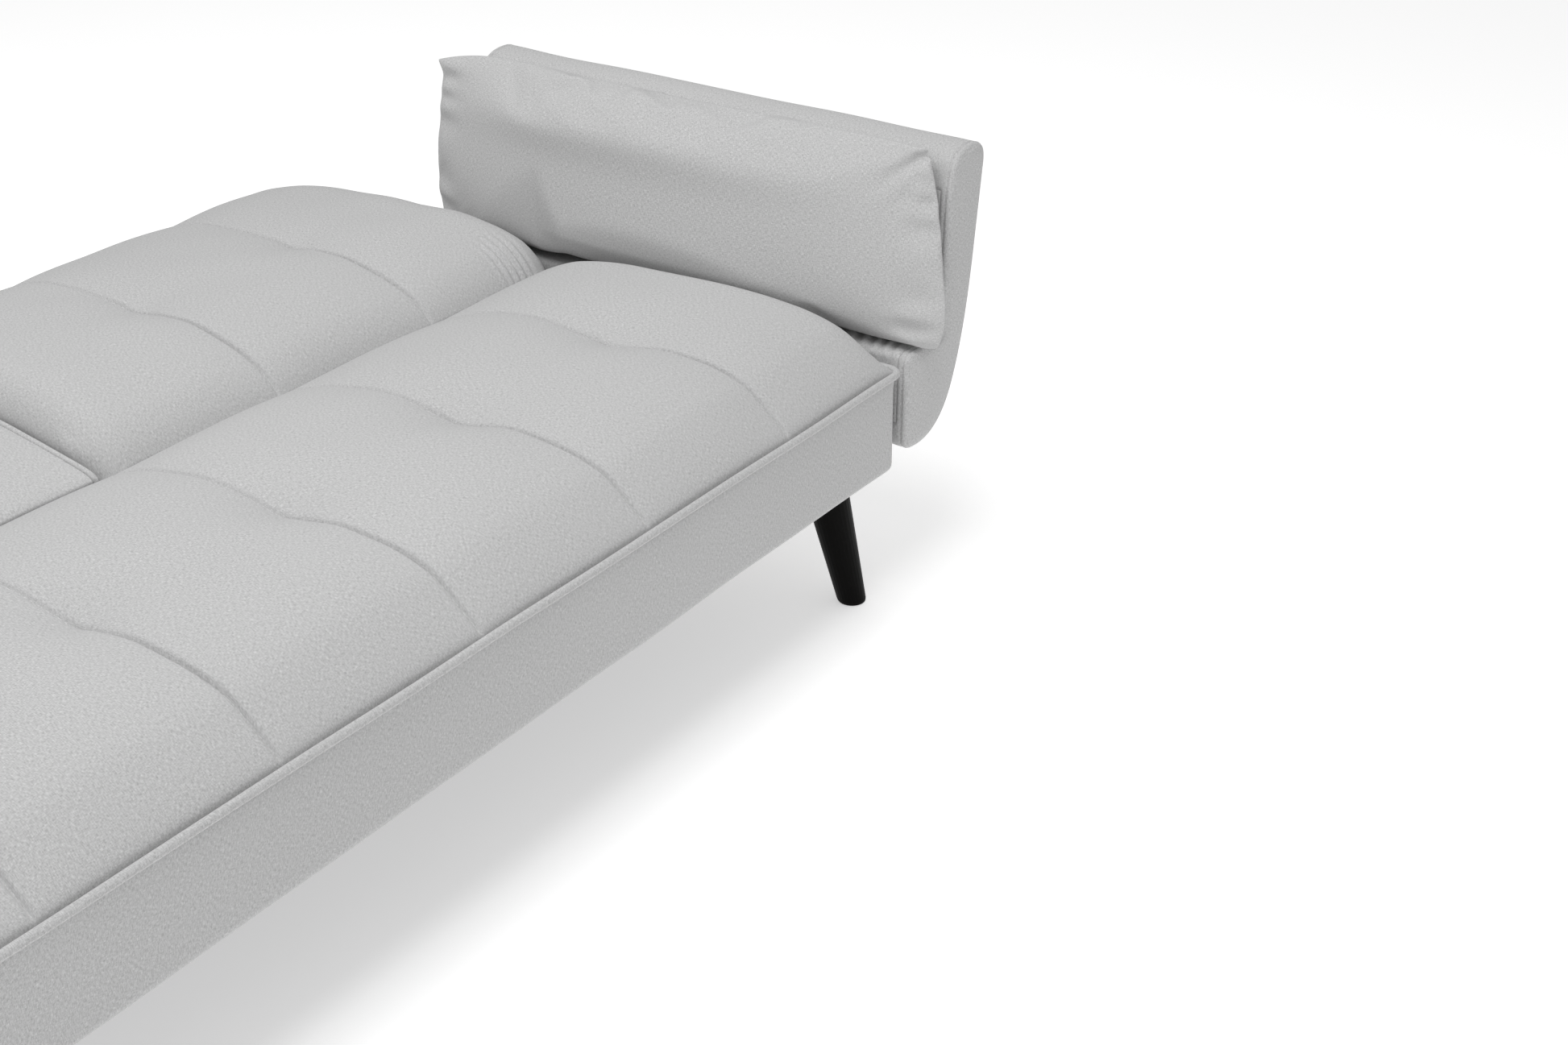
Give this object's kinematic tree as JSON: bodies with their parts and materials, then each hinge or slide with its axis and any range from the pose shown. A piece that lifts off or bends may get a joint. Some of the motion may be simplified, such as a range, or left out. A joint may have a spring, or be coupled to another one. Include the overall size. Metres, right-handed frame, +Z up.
{
  "type": "futon sofa bed",
  "caption": "Upholstered click-clack sofa bed lying flat, with sewn channels, fixed arms, a fold-down centre console, loose arm pillows and splayed legs.",
  "frame": {"origin": "on the floor, under the middle of the flat bed", "axes": "+X along the length, to the right seen from the front; +Y from the front to the back; +Z up"},
  "size_m": [2.1008, 1.06, 0.566],
  "materials": {
    "linen": "light grey heathered linen-look weave",
    "lining": "black non-woven lining",
    "timber": "planed softwood, unfinished",
    "plywood": "plywood, unfinished",
    "black_wood": "black satin paint on turned wood",
    "black_steel": "black satin paint",
    "zinc_steel": "bright zinc plate",
    "black_plastic": "fine moulded texture"
  },
  "bodies": {
    "base": {"base_front_board": "timber", "base_rear_board": "timber", "base_tail_beam": "timber", "base_middle_board": "timber", "leg_middle": "black_wood", "seat_cushion": "linen", "seat_piping": "linen", "seat_spring_mat": "zinc_steel", "dust_cover": "lining", "seat_skirt_front": "linen", "seat_skirt_rear": "lining", "base_side_board_right": "timber", "base_side_board_left": "timber", "leg_front_right": "black_wood", "leg_front_left": "black_wood", "leg_rear_right": "black_wood", "leg_rear_left": "black_wood", "leg_plate_front_right": "zinc_steel", "leg_plate_front_left": "zinc_steel", "leg_plate_rear_right": "zinc_steel", "leg_plate_rear_left": "zinc_steel", "seat_skirt_end_right": "linen", "seat_skirt_end_left": "linen", "arm_shell_right": "linen", "arm_shell_left": "linen", "arm_liner_right": "linen", "arm_liner_left": "linen", "arm_board_right": "plywood", "arm_board_left": "plywood", "arm_bolt_front_right": "zinc_steel", "arm_bolt_front_left": "zinc_steel", "arm_bolt_rear_right": "zinc_steel", "arm_bolt_rear_left": "zinc_steel", "hinge_seat_plate_right": "black_steel", "hinge_seat_plate_left": "black_steel", "hinge_pin_right": "zinc_steel", "hinge_pin_left": "zinc_steel"},
    "back": {"back_top_beam": "timber", "back_link_tube": "black_steel", "hinge_back_plate_right": "black_steel", "hinge_back_plate_left": "black_steel", "back_cushion_right": "linen", "back_cushion_left": "linen", "back_rear_cover_right": "lining", "back_rear_cover_left": "lining", "back_inner_rail_right": "timber", "back_inner_rail_left": "timber", "back_end_rail_right": "timber", "back_end_rail_left": "timber", "back_lower_rail_right": "timber", "back_lower_rail_left": "timber"},
    "console": {"console_cushion": "linen", "console_board": "plywood", "console_tray": "black_plastic", "cup_holder_right": "black_plastic", "cup_holder_left": "black_plastic", "console_pivot_right": "black_steel", "console_pivot_left": "black_steel"},
    "pillow_right": {"pillow_right": "linen"},
    "pillow_left": {"pillow_left": "linen"}
  },
  "joints": [
    {"name": "back_fold", "type": "hinge", "parent": "base", "child": "back", "pos_m": [0, 0.066, 0.315], "axis": [1, 0, 0], "range_deg": [0, 75]},
    {"name": "console_fold", "type": "hinge", "parent": "back", "child": "console", "pos_m": [0, 0.14, 0.333], "axis": [1, 0, 0], "range_deg": [0, 102]},
    {"name": "pillow_right_lift", "type": "slide", "parent": "base", "child": "pillow_right", "axis": [0, 0, 1], "range_m": [0, 0.35]},
    {"name": "pillow_left_lift", "type": "slide", "parent": "base", "child": "pillow_left", "axis": [0, 0, 1], "range_m": [0, 0.35]}
  ]
}
